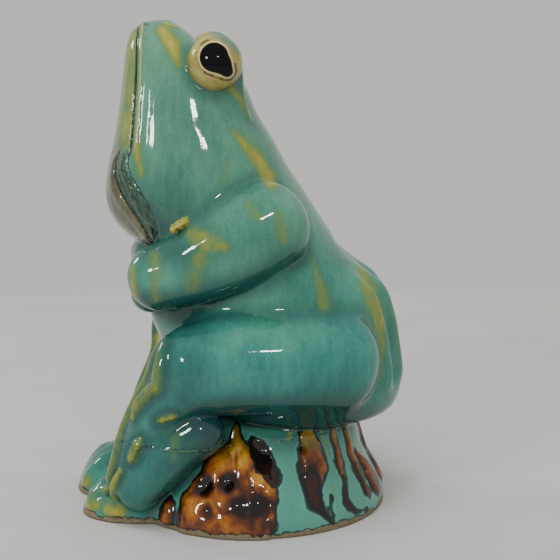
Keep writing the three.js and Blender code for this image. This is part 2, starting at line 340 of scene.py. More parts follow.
def body_relief(p):
    """How far the body's modelled detail stands out of its plain form."""
    x, y, z = p[:, 0], p[:, 1], p[:, 2]
    gap, mouth = mouth_place(p)
    relief = mouth * (0.7 * bell(gap - 1.9, 1.0) - 1.0 * bell(gap, 0.5)
                      + 0.2 * bell(gap - 6, 0.9))
    relief -= 0.8 * rise(z, 209, 216) * (1 - rise(gap, -1.2, 0))
    crease, throat = throat_place(p)
    wrinkles = np.sin(2 * math.pi * crease / 0.38 + 0.9 * np.sin(z / 3.1))
    relief += throat * (0.3 * wrinkles * rise(crease, 0, 0.2) * (1 - rise(crease, 0.7, 1.1))
                        - 0.9 * bell(crease, 0.13) + 0.5 * bell(crease + 0.36, 0.24)
                        - 0.7 * bell(crease - 1, 0.16))
    side = np.abs(x)
    back = rise(y, 45, 58) * rise(z, 52, 62) * (1 - rise(z, 102, 112))
    relief += back * (1.5 * bell(side - 27, 3.6) - 1.5 * bell(side - 20, 2.6)
                      + 1.3 * bell(side - 13, 3.4) - 0.8 * bell(side - 6, 2.4))
    valley = rise(y, 40, 52) * rise(z, 88, 103) * (1 - rise(z, 116, 126))
    relief -= 2.6 * valley * bell(x, 8)
    return relief


def nostril(side):
    """A raised loop of clay with a slit in it."""
    centre = np.array([side * 10.0, -25.4, 216.3])
    turn = math.radians(22)

    def field(p):
        gap = p - centre
        along = gap[:, 1] * math.cos(turn) - gap[:, 2] * math.sin(turn)
        up = gap[:, 1] * math.sin(turn) + gap[:, 2] * math.cos(turn)
        ring = np.hypot(gap[:, 0] / 0.62, along) - 2.3
        return np.hypot(ring, up) - 0.85

    return field


# ---- the rock's glaze and relief

# Amber lobes on the rock, each a chain of (degrees round the rock, height, radius in mm).
# 90 degrees is the frog's left side, 0 its back and 180 its front.
AMBER_LOBES = [
    [(106, 42, 1.6), (104, 36, 3.4), (109, 27, 10), (108, 18, 17.5), (106, 5, 20.5)],
    [(103, 38, 2.5), (97, 32.5, 3.6), (91, 25, 5.6), (89, 16, 5.4), (91, 5, 6)],
    [(102, 36, 2.4), (100, 30, 4.4), (99, 22, 5.5)],
    [(133, 10, 3.0), (132, 4, 3.4)],
    [(56, 43, 1.8), (59, 37.5, 5.4), (60, 33, 6.0), (61.5, 28.5, 8.2), (63.5, 25.5, 6.6)],
    [(39, 41, 1.4), (42, 35.5, 2.4), (43, 30.5, 2.4), (45, 25.5, 2.8), (46, 20.5, 1.3)],
    [(28, 40, 1.6), (30.5, 33, 2.3), (32, 25, 2.6), (33.5, 17, 2.8), (34, 11, 2.4)],
    [(25, 25, 2.4), (22, 19, 5.6), (22, 12, 6.6)],
    [(4, 40, 1.8), (2, 28, 4.4), (4, 12, 6.0)],
    [(-20, 38, 2.0), (-22, 24, 3.2), (-20, 12, 2.6)],
    [(-42, 40, 2.0), (-44, 30, 5.0), (-46, 18, 6.5), (-45, 5, 5.0)],
    [(-66, 40, 1.5), (-67, 28, 2.4), (-66, 16, 1.8)],
    [(-92, 42, 2.4), (-95, 32, 6), (-99, 18, 13), (-104, 2, 20)],
    [(-80, 34, 2.2), (-80, 22, 4.0), (-82, 9, 6)],
    [(180, 40, 4), (176, 30, 9), (182, 18, 13), (178, 4, 17)],
    [(156, 34, 2), (155, 22, 3.5), (153, 12, 3)],
    [(-154, 36, 2), (-156, 24, 4), (-155, 12, 4)],
]
# Hollows in the amber, where the glaze lies dark: degrees, height, radius and depth in mm.
ROCK_HOLLOWS = [
    (116, 20.2, 3.6, 2.2), (106, 22.7, 3.6, 2.0), (99, 14, 3.8, 1.5), (113, 11.5, 3.0, 1.0),
    (91, 14.5, 4.4, 1.5), (88, 32, 5.0, 2.6), (64, 25, 2.6, 1.0),
    (-96, 22, 4.4, 2.4), (-108, 20, 3.6, 2.0), (-100, 11, 4.6, 1.8), (-88, 33, 3.4, 2.2),
    (-46, 24, 2.6, 1.4), (3, 20, 2.8, 1.6), (174, 24, 4.4, 2.2),
    (186, 17, 3.8, 2.0), (172, 11, 3.6, 1.6), (182, 31, 3.2, 1.8),
]
# Rounded bosses in the amber: degrees, height, radius and height in mm.
ROCK_BOSSES = [
    (122, 23, 5.5, 1.2), (111, 28.5, 6.5, 1.3), (107, 15.5, 5.5, 1.0), (119, 12, 6, 0.9),
    (103, 5.5, 8, 0.9), (103.5, 36, 4.2, 1.5), (98, 31, 5, 1.6), (91.5, 25.5, 5, 1.5),
    (85.5, 21.5, 4.5, 1.0),
    (-92, 27, 6, 1.5), (-103, 27, 6, 1.4), (-104, 15, 6, 1.2), (-93, 14, 6, 1.2),
    (178, 20, 7, 1.5), (170, 17, 6, 1.2), (180, 10, 6, 1.2), (188, 25, 6, 1.4),
]
# Dark runs of glaze on the rock, and places where its teal is thin, like the lobes.
DARK_RUNS = [
    [(66, 21.5, 5.0), (66.5, 17, 4.2), (66, 13.5, 3.4), (63.5, 8.5, 1.3), (60, 4, 0.9)],
    [(46, 20, 0.8), (48.5, 15, 0.6), (51, 10.5, 0.8), (47, 5.5, 0.6), (38, 3.8, 0.5)],
    [(57, 14, 0.4), (59.5, 10, 0.7), (58.5, 6.5, 0.6)],
    [(95, 37, 1.8), (90.5, 33.5, 4.2), (88, 29.5, 5.2), (84.5, 25, 3.6)],
    [(2, 14, 3.0), (4, 7, 1.0)], [(-21, 14, 2.0), (-24, 7, 0.8)], [(-47, 6, 3), (-52, 3, 1)],
    [(-80, 8, 2.6), (-76, 4, 1)], [(153, 12, 2.2), (150, 6, 0.8)],
]
THIN_RUNS = [
    [(67, 42.5, 0.3), (70, 39.5, 0.7), (75, 36.7, 0.2)], [(55, 17, 1.2), (55, 14, 0.3)],
    [(50, 41, 0.2), (49, 33, 0.5), (51, 28, 0.1)], [(-30, 40, 0.6), (-33, 30, 0.4)],
    [(12, 41, 0.6), (13, 32, 0.5)], [(-110, 41, 0.6), (-118, 34, 0.4)],
]


ROCK_TOP = 58.0  # no point of the rock is higher
GIRTH = 0.97  # mm round the rock for one degree


def rock_plan(p):
    """Degrees round the rock from its back, and height."""
    turn = np.degrees(np.arctan2(p[:, 0] / 0.98, p[:, 1] - MOUND_CENTRE_Y))
    return turn, p[:, 2]


def round_from(turn, place_turn):
    """Distance round the rock from a place, in mm."""
    return ((turn - place_turn + 180) % 360 - 180) * GIRTH


def only_low(function):
    """The same function, worked out only for points that are low enough to be on the rock."""
    def wrapped(p, *rest):
        result = np.zeros(len(p))
        low = p[:, 2] < ROCK_TOP
        result[low] = function(p[low], *rest)
        return result
    return wrapped


@only_low
def lobe_distance(p, lobes):
    """Millimetres outside the nearest of these lobes, negative inside it."""
    turn, z = rock_plan(p)
    wander = 0.9 * np.sin(turn * 0.31 + z * 0.22) + 0.6 * np.sin(turn * 0.83 - z * 0.47 + 1.3)
    nearest = np.full(len(p), 99.0)
    for lobe in lobes:
        centre = lobe[0][0]
        chain = [((a - centre) * GIRTH, b) for a, b, _ in lobe]
        away, place = line_distance(round_from(turn, centre), z, chain)
        radius = np.interp(place, np.linspace(0, 1, len(lobe)), [r for _, _, r in lobe])
        nearest = blend(nearest, away - radius, 1.6)
    return nearest + wander * 0.5


@only_low
def hollow_depth(p, places):
    """Depth in mm of the deepest of these hollows, or height of the highest of these bosses."""
    turn, z = rock_plan(p)
    depth = np.zeros(len(p))
    for at, height, radius, deep in places:
        away = np.hypot(round_from(turn, at), z - height)
        depth = np.maximum(depth, deep * bell(away, radius))
    return depth


@only_low
def rock_relief(p):
    lobe = lobe_distance(p, AMBER_LOBES)
    raised = 1.5 * (1 - rise(lobe, -3.5, 0.8))
    on_lobe = 1 - rise(lobe, -2, 1.5)
    bosses = 0.55 * hollow_depth(p, ROCK_BOSSES)
    hollows = hollow_depth(p, ROCK_HOLLOWS)
    fade = 1 - rise(p[:, 2], 40, 48)
    return fade * (raised + on_lobe * bosses - hollows) - 1.3


# ---- all the forms together

SIDES = (("left", 1), ("right", -1))
forms = {}


def spread_foot(name):
    """A foot before its toes are laid on."""
    return lambda p: blend(forms[f"{name}_instep"](p), forms[f"{name}_apron"](p), 4)


def whole_leg(name):
    """A leg below the knee, before its ridges are laid on."""
    def field(p):
        leg = blend(forms[f"{name}_shin"](p), forms[f"{name}_thigh"](p), 6)
        return blend(leg, spread_foot(name)(p), 3)
    return field


for name, side in SIDES:
    forms[f"{name}_eye"] = ball((side * EYE[0], *EYE[1:]), EYE_RADIUS)
    for what, spine, steps in (
            ("upper_arm", ARMS[name], 11), ("forearm", FOREARMS[name], 8), ("thigh", THIGH, 10),
            ("shin", SHINS[name], 9), ("instep", FOOT, 9)):
        forms[f"{name}_{what}"] = limb(mirrored(spine, side), steps=steps)
    forms[f"{name}_apron"] = ball(*APRONS[name])
    for k, (spine, thick) in enumerate(TOES[name]):
        rib = laid_on(spread_foot(name), mirrored(spine, side), 0.62 * thick)
        forms[f"{name}_toe{k}"] = limb(tapered(rib, thick), clip_ends=False)
    forms[f"{name}_brow"] = limb(mirrored(BROW, side), clip_ends=False)
    forms[f"{name}_nostril"] = nostril(side)
    for k, (spine, thick) in enumerate(SHIN_RIDGES):
        cord = laid_on(whole_leg(name), mirrored(spine, side), -0.1 * thick)
        forms[f"{name}_ridge{k}"] = limb(tapered(cord, thick), clip_ends=False)

fingertips = [limb([(x - 5, y + 0.6, z, 1.8, 1.8), (x + 2.9, y, z + 0.6, 1.5, 1.5)],
                   clip_ends=False) for x, y, z in FINGERTIPS]

PIECES = ["body_and_head", "rock_mound", "right_fingertips"] + [
    f"{name}_{part}" for name, _ in SIDES
    for part in ("eye", "upper_arm", "forearm", "thigh", "shin", "foot")]


def parts_of(p):
    """The field of every named piece, before they are joined."""
    parts = {}
    body = body_form(p) - body_relief(p)
    parts["rock_mound"] = mound_form(p) - rock_relief(p)
    for name, _ in SIDES:
        get = lambda what: forms[f"{name}_{what}"](p)
        body = blend(body, get("brow"), 4)
        body = blend(body, get("nostril"), 0.9)
        for what in ("eye", "upper_arm", "forearm", "thigh"):
            parts[f"{name}_{what}"] = get(what)
        shin = get("shin")
        for k in range(len(SHIN_RIDGES)):
            shin = blend(shin, get(f"ridge{k}"), 1.7)
        parts[f"{name}_shin"] = shin
        foot = spread_foot(name)(p)
        for k in range(3):
            foot = blend(foot, get(f"toe{k}"), 3)
        parts[f"{name}_foot"] = foot
    parts["right_fingertips"] = np.minimum.reduce([tip(p) for tip in fingertips])
    parts["body_and_head"] = body
    return parts


def joined(parts):
    """One field of the whole figure, with the roundings of its joins."""
    whole = parts["body_and_head"]
    for name, _ in SIDES:
        whole = blend(whole, parts[f"{name}_eye"], 1.2)
        limbs = blend(parts[f"{name}_shin"], parts[f"{name}_thigh"], 6)
        limbs = blend(limbs, parts[f"{name}_foot"], 1.8)
        arms = blend(parts[f"{name}_upper_arm"], parts[f"{name}_forearm"], 4)
        whole = blend(whole, arms, 3.0)
        whole = blend(whole, limbs, 6)
    whole = blend(whole, parts["right_fingertips"], 0.9)
    return blend(whole, parts["rock_mound"], 2.0)


def inside_of_mound(p):
    """The hollow of the mound and the passage up into the body."""
    shrunk = mound_form(p) + WALL + 1.0
    hollow = -blend(-shrunk, HOLLOW_ROOF - p[:, 2], 8)
    passage = np.hypot(p[:, 0], p[:, 1] - PASSAGE_Y) - PASSAGE_RADIUS
    return blend(hollow, np.maximum(passage, p[:, 2] - ROCK_TOP), 3)


def in_the_hollow(p):
    """Whether a point of the skin lies on the inner wall, where there is no glaze."""
    return inside_of_mound(p) < 0.6


def figure(p):
    whole = joined(parts_of(p))
    whole = np.maximum(whole, -inside_of_mound(p))
    return np.maximum(whole, -p[:, 2])


# ---- from field to skin

def near_the_skin(low, high):
    """The field on the grid, worked out only where a rough pass says that the skin is near."""
    counts = np.ceil((high - low) / VOXEL / COARSE).astype(int) + 1
    rough_axes = [low[k] + VOXEL * COARSE * (np.arange(counts[k]) + 0.5) for k in range(3)]
    rough = np.stack(np.meshgrid(*rough_axes, indexing="ij"), -1).reshape(-1, 3)
    value = figure(rough).reshape(counts)
    fine = value.repeat(COARSE, 0).repeat(COARSE, 1).repeat(COARSE, 2)
    close = np.abs(fine) < VOXEL * COARSE * 1.7
    places = np.argwhere(close)
    points = low + VOXEL * (places + 0.5)
    fine[close] = figure(points)
    return np.clip(fine, -3 * VOXEL, 3 * VOXEL)


def draw_skin():
    low = np.array([-66.0, -80.0, -4.5])
    high = np.array([66.0, 84.0, 224.0])
    block = near_the_skin(low, high)
    grid = openvdb.FloatGrid(3 * VOXEL)
    grid.copyFromArray(block.astype(np.float32))
    points, triangles, quads = grid.convertToPolygons(0.0, 0.0)
    points = points.astype(float) * VOXEL + low + 0.5 * VOXEL
    for _ in range(3):
        value, gradient = slope_at(figure, points)
        steep = np.maximum((gradient ** 2).sum(1), 0.2)
        move = -(value / steep)[:, None] * gradient
        length = np.linalg.norm(move, axis=1)
        move *= np.minimum(1, 0.5 * VOXEL / np.maximum(length, 1e-9))[:, None]
        points += move
    points[:, 2] = np.maximum(points[:, 2], 0)
    _, gradient = slope_at(figure, points, 0.5)
    normals = gradient / np.maximum(np.linalg.norm(gradient, axis=1), 1e-9)[:, None]
    faces = np.asarray(quads, int)
    a, b, c, d = (points[faces[:, k]] for k in range(4))
    facing = np.cross(c - a, d - b)
    middle = (normals[faces].sum(1) * facing).sum(1)
    faces = np.where((middle < 0)[:, None], faces[:, ::-1], faces)
    return points, normals, faces


# ---- what the glaze does where

# Places on the frog where the glaze is thin and breaks to olive and yellow, seen from the side:
# chains of (y, z, radius), and how strongly.
THIN_LEFT = [
    ([(-28.5, 214, 3.2), (-24.5, 208, 3.6), (-22.5, 201, 1.6)], 0.9),
    ([(-34.9, 216, 0.4), (-35.1, 198, 0.2)], 0.6),
    ([(-1, 191, 1.8), (4, 186, 1.6), (8, 178, 0.8)], 0.8),
    ([(0.5, 172.5, 1.0), (7, 165.5, 2.6), (12, 159, 3.6), (16.5, 152, 3.2)], 0.8),
    ([(-14.3, 173, 0.3), (-14.5, 165, 0.6)], 0.5),
    ([(-3, 160, 0.8), (-3, 153, 1.2)], 0.65),
    ([(-42.5, 116, 1.2), (-42.5, 108, 1.8), (-41, 100, 1.6)], 0.8),
    ([(-33, 121, 3.0), (-33, 104, 2.6)], 0.55),
    ([(-17, 131, 3.6), (-11, 128.5, 5.4), (-5, 127, 3.6)], 0.6),
    ([(-14, 122, 4.6), (-18, 110, 3.6)], 0.5),
    ([(6.8, 143, 2.2), (9.8, 139, 2.8)], 0.58),
    ([(18.4, 139.5, 2.2), (20.5, 129, 2.6)], 0.6),
    ([(34.6, 118, 1.0), (36.5, 109, 2.6), (39, 99, 3.6)], 0.6),
    ([(58, 109, 3.0), (61, 100, 4.6), (65, 88, 4.2), (66.5, 76, 1.8), (66, 62, 0.6)], 0.66),
    ([(-25.6, 44, 2.4), (-26.4, 35, 2.0)], 0.46),
    ([(-39.8, 174, 0.8), (-40.2, 165, 2.4), (-38.6, 155, 1.4)], 0.8),
    ([(69, 100, 1.2), (74, 86, 1.6), (75, 66, 1.2)], 0.5),
]
THIN_RIGHT = [
    ([(-28, 213, 4.0), (-25, 206, 3.6), (-24, 200, 1.4)], 1.0),
    ([(2, 176, 1.2), (8, 165, 2.6), (15, 155, 2.4)], 0.9),
    ([(-18, 168, 1.4), (-17, 158, 2.0)], 0.6),
    ([(-36.5, 114, 2.2), (-36, 100, 2.4)], 0.85),
    ([(-22, 122, 4.0), (-26, 108, 3.6)], 0.6),
    ([(-4, 132, 4.0), (4, 130, 4.4)], 0.7),
    ([(20, 141, 2.4), (22, 130, 2.2)], 0.75),
    ([(36, 116, 1.4), (39, 102, 3.2)], 0.8),
    ([(59, 108, 3.0), (63, 95, 4.0), (67, 80, 2.2), (67, 64, 1.4)], 0.85),
    ([(70, 98, 1.4), (75, 80, 1.6)], 0.6),
    ([(-24, 44, 2.4), (-25, 37, 2.0)], 0.7),
    ([(-39.8, 174, 0.8), (-40.2, 165, 2.4), (-38.6, 155, 1.4)], 0.8),
    ([(-33, 67, 3.0), (-34, 54, 2.2)], 0.9),
]


BEND_STEP = 0.8  # mm from a point at which the skin's bend is read


def patches(p, chains):
    """How thin the glaze is from the listed patches, from 0 to 1."""
    y, z = p[:, 1], p[:, 2]
    thin = np.zeros(len(p))
    for chain, strength in chains:
        away, place = line_distance(y, z, chain)
        radius = np.interp(place, np.linspace(0, 1, len(chain)), [c[2] for c in chain])
        thin = np.maximum(thin, strength * (1 - rise(away - radius, -3.6, 3.8)))
    return thin


def glaze_values(p, normals, parts):
    """Everything the glaze's shader reads, for each point of the skin."""
    x, y, z = p[:, 0], p[:, 1], p[:, 2]
    around = sum(joined(parts_of(p + BEND_STEP * c)) for c in CORNERS)
    bend = np.clip((around - 4 * joined(parts)) / (2 * BEND_STEP ** 2), -1.5, 1.5)

    thin = np.where(x > 0, patches(p, THIN_LEFT), patches(p, THIN_RIGHT))
    thin *= rise(np.abs(x), 4, 14)
    for name, _ in SIDES:
        for k in range(len(SHIN_RIDGES)):
            on_cord = 1 - rise(forms[f"{name}_ridge{k}"](p), 0.1, 2.1)
            thin = np.maximum(thin, (0.46 + 0.26 * rise(bend, 0.1, 0.8)) * on_cord)
        nostrils = forms[f"{name}_nostril"](p)
        thin = np.maximum(thin, 0.9 * (1 - rise(nostrils, 0.0, 0.9)))
    thin = np.maximum(thin, 0.9 * (parts["right_fingertips"] < 0.3))
    gap, mouth = mouth_place(p)
    toes = np.minimum.reduce([forms[f"{name}_toe{k}"](p) for name, _ in SIDES for k in range(3)])
    apron = (1 - rise(z, 5, 15)) * (1 - rise(y, -48, -38))
    thin = np.maximum(thin, apron * (0.74 - 0.5 * rise(toes, 0.5, 3.5)))
    thin = np.maximum(thin, 0.5 * rise(bend, 0.45, 1.1) * rise(z, 8, 20))
    run = lobe_distance(p, THIN_RUNS)
    thin = np.maximum(thin, 0.6 * (1 - rise(run, -0.4, 1.6)) * (z < 44))

    crease, throat = throat_place(p)
    arms = np.minimum.reduce([parts[f"{name}_{part}"] for name, _ in SIDES
                              for part in ("upper_arm", "forearm")])
    off_arms = rise(arms, 0.3, 1.6)
    throat *= off_arms
    below_chin = rise(z, 120, 127) * (1 - rise(z, 160, 171)) * off_arms
    eyeball = parts["body_and_head"] - np.minimum(parts["left_eye"], parts["right_eye"])
    pool = rise(-bend, 0.16, 0.75) * np.where(z > 184, rise(np.abs(eyeball), 1.5, 3), 1)
    small = np.minimum.reduce([parts["right_fingertips"], forms["left_nostril"](p),
                               forms["right_nostril"](p)])
    pool *= rise(small, 0.6, 2.4)
    # Painted shade: the glaze colour is darkened where parts meet, on surfaces that face down, on
    # the lower cheek, on the belly under the arms, on the calf and instep, and between the cords on
    # the shins.
    ranked = np.sort(np.stack(list(parts.values()), 1), axis=1)
    join = (1 - rise(ranked[:, 1], 0.5, 9)) * 0.55
    below = 0.92 * rise(-normals[:, 2], 0.05, 0.75) * rise(z, 6, 14)
    cheek = 0.75 * rise(z, 112, 124) * (1 - rise(z, 132, 164)) * (1 - rise(y, -30, 6))
    belly = 0.8 * rise(z, 80, 90) * (1 - rise(z, 102, 112)) * (1 - rise(y, -34, 8))
    cords = np.minimum.reduce([forms[f"{name}_ridge{k}"](p) for name, _ in SIDES
                               for k in range(len(SHIN_RIDGES))])
    leg = np.minimum(parts["left_foot"], parts["right_foot"]) < 0.5
    calf = (0.5 + 0.45 * rise(y + 0.9 * z, -8, 30)) * leg * rise(z, 8, 16)
    between = 0.8 * (1 - rise(cords, 1.5, 10)) * rise(z, 10, 20)
    painted_shade = np.maximum.reduce([join, below, cheek, belly, calf, between])

    eye_y = y - EYE[1]
    eye_z = z - EYE[2]
    tail = np.where(x > 0, 0, 9)  # the left pupil's glaze has run down and back
    pupil = np.hypot(eye_y + 0.6, eye_z - 2.6) - 6.0
    for by, bz, radius in ((2.8, -0.6, 3.9), (5.0, -3.4, 2.2)):
        pupil = blend(pupil, np.hypot(eye_y - by, eye_z - bz) - radius + tail, 1.6)
    others = np.minimum.reduce([parts["body_and_head"], *(
        parts[f"{name}_{part}"] for name, _ in SIDES for part in ("shin", "foot", "thigh"))])
    rock = np.clip(others - parts["rock_mound"], -9, 9)
    pupil += 9 * rise(30 - np.abs(x), 0, 2)
    rim = rise(0.6 * eye_y + 0.8 * eye_z, 5.5, 11.5)

    lobe = lobe_distance(p, AMBER_LOBES)
    dark = lobe_distance(p, DARK_RUNS)
    hollow = np.clip(hollow_depth(p, ROCK_HOLLOWS) / 2.0, 0, 1)
    ragged = 0.8 * np.sin(x * 0.33 + y * 0.21) + 0.6 * np.sin(y * 0.71 - x * 0.12)
    underside = rise(-normals[:, 2], 0.6, 0.85) * (1 - rise(z, 0.5, 6))
    bare = np.maximum(FOOT_RING_BARE + 0.6 * ragged - z, 12 * underside - 6)
    bare = np.where(in_the_hollow(p), 6.0, bare)
    boss = hollow_depth(p, ROCK_BOSSES) / 1.6
    return {"thin": thin, "pool": pool, "gap": np.clip(gap, -30, 9), "mouth": mouth,
            "crease": np.clip(crease, -6, 6), "throat": throat, "chin": below_chin, "boss": boss,
            "pupil": pupil, "rim": rim,
            "eyeball": np.clip(eyeball, -9, 9), "rock": rock, "amber": -lobe, "dark": -dark,
            "hollow": hollow, "bare": bare, "bend": bend, "painted_shade": painted_shade}


# ---- pieces from the skin

def make_piece(name, points, normals, faces, values, material):
    """A closed piece: these faces of the skin, the same again a wall's thickness in, and rims."""
    used = np.unique(faces)
    renumber = np.full(len(points), -1)
    renumber[used] = np.arange(len(used))
    outer = renumber[faces]
    count = len(used)
    inner = outer[:, ::-1] + count
    edges = np.concatenate([outer[:, [k, (k + 1) % 4]] for k in range(4)])
    key = edges[:, 0] * count + edges[:, 1]
    back_key = edges[:, 1] * count + edges[:, 0]
    rim = edges[~np.isin(key, back_key)]
    rims = np.stack([rim[:, 1], rim[:, 0], rim[:, 0] + count, rim[:, 1] + count], 1)
    quads = np.concatenate([outer, inner, rims])
    place = points[used]
    direction = normals[used]
    inside = place - SKIN * direction
    inside[:, 2] = np.clip(inside[:, 2], 0.2, None)
    all_points = np.concatenate([place, inside])
    all_points[:, 1] -= PLAN_CENTRE_Y
    mesh = bpy.data.meshes.new(name)
    mesh.vertices.add(2 * count)
    mesh.vertices.foreach_set("co", (all_points * MM).astype(np.float32).ravel())
    mesh.loops.add(4 * len(quads))
    mesh.loops.foreach_set("vertex_index", quads.astype(np.int32).ravel())
    mesh.polygons.add(len(quads))
    mesh.polygons.foreach_set("loop_start", np.arange(0, 4 * len(quads), 4, dtype=np.int32))
    mesh.update(calc_edges=True)
    mesh.polygons.foreach_set("use_smooth", np.ones(len(quads), bool))
    for key_name, value in values.items():
        data = np.concatenate([value[used], value[used]]).astype(np.float32)
        mesh.attributes.new(key_name, "FLOAT", "POINT").data.foreach_set("value", data)
    both = np.concatenate([direction, -direction])
    mesh.normals_split_custom_set_from_vertices([tuple(n) for n in both])
    mesh.materials.append(material)
    piece = bpy.data.objects.new(name, mesh)
    bpy.context.scene.collection.objects.link(piece)
    return piece


# ---- materials

GLASS_IOR = 1.5


class Nodes:
    """Short-hand for building a node tree."""

    def __init__(self, name):
        self.material = bpy.data.materials.new(name)
        self.material.use_nodes = True
        self.tree = self.material.node_tree
        self.shader = self.tree.nodes["Principled BSDF"]
        self.object = self.make("ShaderNodeTexCoord").outputs["Object"]

    def make(self, kind, **settings):
        node = self.tree.nodes.new(kind)
        for key, value in settings.items():
            setattr(node, key, value)
        return node

    def feed(self, socket, value):
        if isinstance(value, bpy.types.NodeSocket):
            self.tree.links.new(value, socket)
        elif isinstance(value, tuple) and len(value) == 3 and socket.type == "RGBA":
            socket.default_value = (*value, 1)
        else:
            socket.default_value = value

    def value(self, name):
        return self.make("ShaderNodeAttribute", attribute_name=name).outputs["Fac"]

    def height(self):
        """Height above the ground, in metres."""
        node = self.make("ShaderNodeSeparateXYZ")
        self.feed(node.inputs[0], self.object)
        return node.outputs[2]

    def math(self, operation, a, b=0.0):
        node = self.make("ShaderNodeMath", operation=operation)
        self.feed(node.inputs[0], a)
        self.feed(node.inputs[1], b)
        return node.outputs[0]

    def times(self, *values):
        result = values[0]
        for value in values[1:]:
            result = self.math("MULTIPLY", result, value)
        return result

    def total(self, *terms):
        """The sum of values, each times its number."""
        result = None
        for value, number in terms:
            if isinstance(value, bpy.types.NodeSocket):
                term = self.times(value, number) if number != 1 else value
            else:
                term = value * number
            result = term if result is None else self.math("ADD", result, term)
        return result

    def step(self, value, low, high, to_low=0.0, to_high=1.0):
        node = self.make("ShaderNodeMapRange", interpolation_type="SMOOTHSTEP")
        for socket, number in zip(node.inputs[:5], (value, low, high, to_low, to_high)):
            self.feed(socket, number)
        return node.outputs["Result"]

    def mix(self, amount, a, b, kind="MIX"):
        node = self.make("ShaderNodeMix", data_type="RGBA", blend_type=kind)
        self.feed(node.inputs[0], amount)
        self.feed(node.inputs[6], a)
        self.feed(node.inputs[7], b)
        return node.outputs[2]

    def noise(self, size_mm, detail=4.0, roughness=0.55, stretch=(1, 1, 1), warp=0.0, lean=0):
        """Noise of features about size_mm across, longer along an axis by stretch.

        Lean is how many degrees its upper end tips forward."""
        mapping = self.make("ShaderNodeMapping")
        source = self.object
        if lean:
            tilt = self.make("ShaderNodeVectorRotate", rotation_type="X_AXIS")
            self.feed(tilt.inputs["Vector"], source)
            tilt.inputs["Angle"].default_value = math.radians(-lean)
            source = tilt.outputs["Vector"]
        self.feed(mapping.inputs["Vector"], source)
        mapping.inputs["Scale"].default_value = [1 / (size_mm * MM * s) for s in stretch]
        node = self.make("ShaderNodeTexNoise")
        self.feed(node.inputs["Vector"], mapping.outputs["Vector"])
        for key, number in (("Scale", 1.0), ("Detail", detail), ("Roughness", roughness),
                            ("Distortion", warp)):
            node.inputs[key].default_value = number
        return node.outputs["Fac"]

    def ramp(self, value, stops):
        node = self.make("ShaderNodeValToRGB")
        ramp = node.color_ramp
        while len(ramp.elements) < len(stops):
            ramp.elements.new(0.5)
        for element, (place, colour) in zip(ramp.elements, stops):
            element.position = place
            element.color = (*colour, 1)
        self.feed(node.inputs["Fac"], value)
        return node.outputs["Color"]

    def finish(self, colour, roughness, bumps):
        normal = None
        for height, distance in bumps:
            bump = self.make("ShaderNodeBump")
            bump.inputs["Strength"].default_value = 1.0
            bump.inputs["Distance"].default_value = distance * MM
            self.feed(bump.inputs["Height"], height)
            if normal is not None:
                self.feed(bump.inputs["Normal"], normal)
            normal = bump.outputs["Normal"]
        for key, value in (("Base Color", colour), ("Roughness", roughness), ("Normal", normal),
                           ("IOR", GLASS_IOR)):
            self.feed(self.shader.inputs[key], value)
        return self.material


TEAL = [(0.28, (0.011, 0.094, 0.086)), (0.45, (0.024, 0.195, 0.152)),
        (0.58, (0.044, 0.265, 0.200)), (0.75, (0.080, 0.345, 0.250))]
SAGE = [(0.28, (0.042, 0.136, 0.088)), (0.45, (0.074, 0.220, 0.134)),
        (0.58, (0.108, 0.278, 0.168)), (0.75, (0.155, 0.335, 0.210))]
BREAK = [(0.08, (0.042, 0.150, 0.090)), (0.30, (0.090, 0.180, 0.040)),
         (0.52, (0.190, 0.225, 0.028)), (0.74, (0.350, 0.320, 0.042)),
         (1.00, (0.520, 0.430, 0.150))]
FRECKLE = (0.090, 0.170, 0.050)
POOLED = (0.003, 0.026, 0.032)
# The colour of the painted shade.
PAINTED_SHADE = (0.006, 0.045, 0.045)
MINT = (0.105, 0.330, 0.245)
THROAT_CLAY = [(0.34, (0.036, 0.034, 0.014)), (0.46, (0.088, 0.076, 0.036)),
               (0.58, (0.160, 0.138, 0.070)), (0.75, (0.290, 0.255, 0.150))]
WRINKLED = [(0.40, (0.006, 0.024, 0.018)), (0.54, (0.024, 0.066, 0.040)),
            (0.64, (0.090, 0.130, 0.055)), (0.76, (0.240, 0.250, 0.120))]
AMBER = [(0.26, (0.007, 0.002, 0.002)), (0.38, (0.036, 0.008, 0.002)),
         (0.48, (0.130, 0.030, 0.002)), (0.58, (0.290, 0.088, 0.003)),
         (0.72, (0.500, 0.245, 0.018))]
RIB_TOP = (0.230, 0.170, 0.016)
MAROON = (0.028, 0.007, 0.004)
OUTLINE = (0.004, 0.005, 0.005)
HOLLOW = (0.006, 0.003, 0.003)
EYE_YELLOW = [(0.30, (0.170, 0.150, 0.028)), (0.50, (0.360, 0.305, 0.075)),
              (0.72, (0.520, 0.440, 0.150))]
CLAY = [(0.30, (0.110, 0.085, 0.045)), (0.70, (0.250, 0.200, 0.120))]


